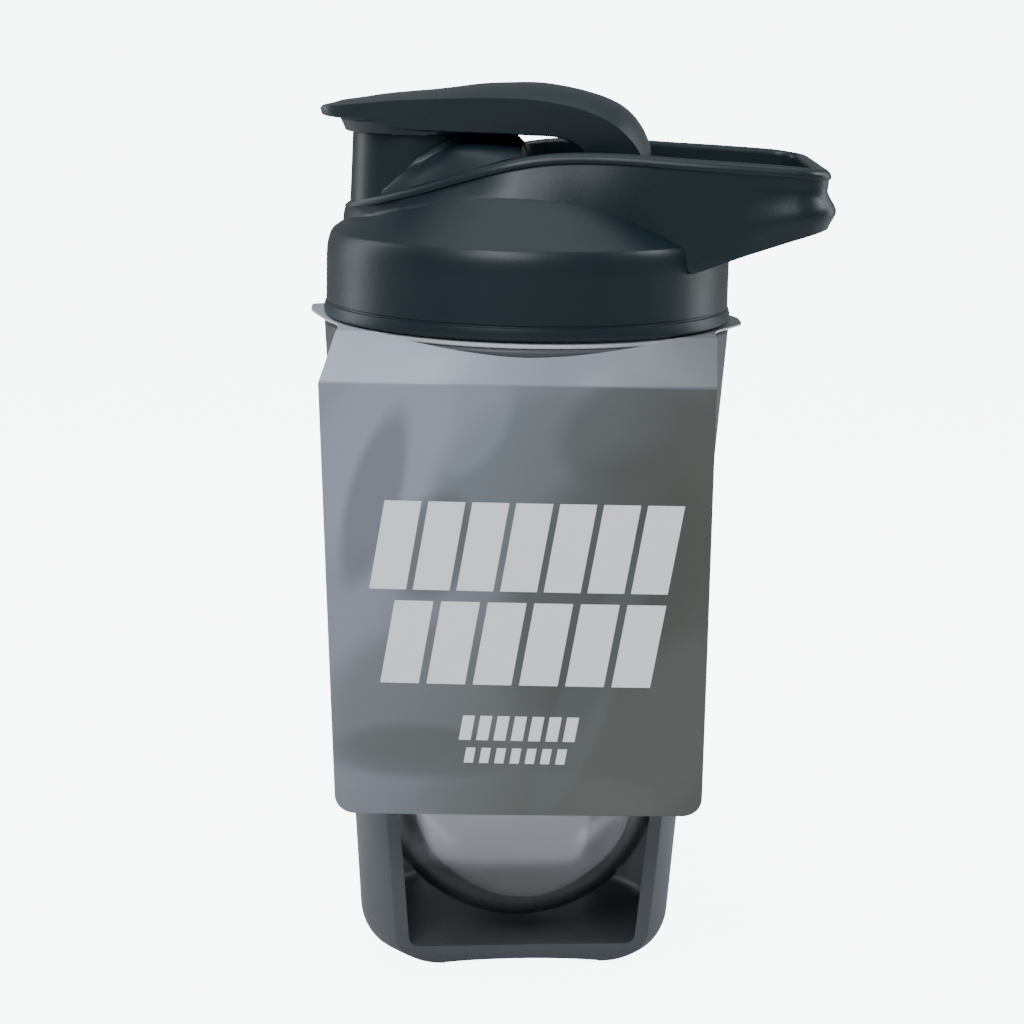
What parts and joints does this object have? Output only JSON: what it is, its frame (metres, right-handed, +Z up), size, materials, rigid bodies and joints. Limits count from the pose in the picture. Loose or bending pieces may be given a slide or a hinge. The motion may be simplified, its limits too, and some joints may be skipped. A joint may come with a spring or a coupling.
{
  "type": "shaker bottle",
  "caption": "Clear round-bottomed cup in an open slate cage, screw lid with carry loop and flip cap over the spout, and a printed card sleeve trapped under the lid.",
  "frame": {"origin": "on the bottle's axis, on the plane of the cage's foot ring", "axes": "+Z up along the bottle's axis; -X towards the spout, +X towards the end of the carry loop; -Y towards the front panel"},
  "size_m": [0.117, 0.0958, 0.2037],
  "materials": {
    "slate_cage": "satin, fine moulded texture",
    "clear_cup": "clear polished plastic",
    "printed_card": "satin print on white card",
    "slate_grid": "satin",
    "soft_seal": "matt silicone",
    "slate_lid": "satin, fine moulded texture",
    "slate_pin": "smooth",
    "slate_cap": "satin, fine moulded texture",
    "soft_plug": "matt silicone"
  },
  "bodies": {
    "holder": {"cage": "slate_cage"},
    "vessel": {"cup": "clear_cup"},
    "sleeve": {"card_sleeve": "printed_card"},
    "grid": {"mixing_grid": "slate_grid"},
    "seal": {"lid_seal": "soft_seal"},
    "screw_lid": {"lid": "slate_lid", "hinge_pin": "slate_pin"},
    "cap": {"flip_cap": "slate_cap", "spout_plug": "soft_plug"}
  },
  "joints": [
    {"name": "cup_out", "type": "slide", "parent": "holder", "child": "vessel", "axis": [0, 0, 1], "range_m": [0, 0.16]},
    {"name": "card_off", "type": "slide", "parent": "vessel", "child": "sleeve", "axis": [0, 0, 1], "range_m": [0, 0.12]},
    {"name": "lid_off", "type": "slide", "parent": "sleeve", "child": "grid", "axis": [0, 0, 1], "range_m": [0, 0.06]},
    {"name": "lid_lift", "type": "slide", "parent": "grid", "child": "seal", "axis": [0, 0, 1], "range_m": [0, 0.0076]},
    {"name": "lid_turn", "type": "hinge", "parent": "seal", "child": "screw_lid", "pos_m": [0, 0, 0.151], "axis": [0, 0, 1], "range_deg": [0, 450]},
    {"name": "cap_flip", "type": "hinge", "parent": "screw_lid", "child": "cap", "pos_m": [0.02, 0, 0.182], "axis": [0, 1, 0], "range_deg": [0, 110]}
  ],
  "couplings": [
    {"joint": "lid_lift", "follows": "lid_turn", "m_per_rad": 0.00095493}
  ]
}
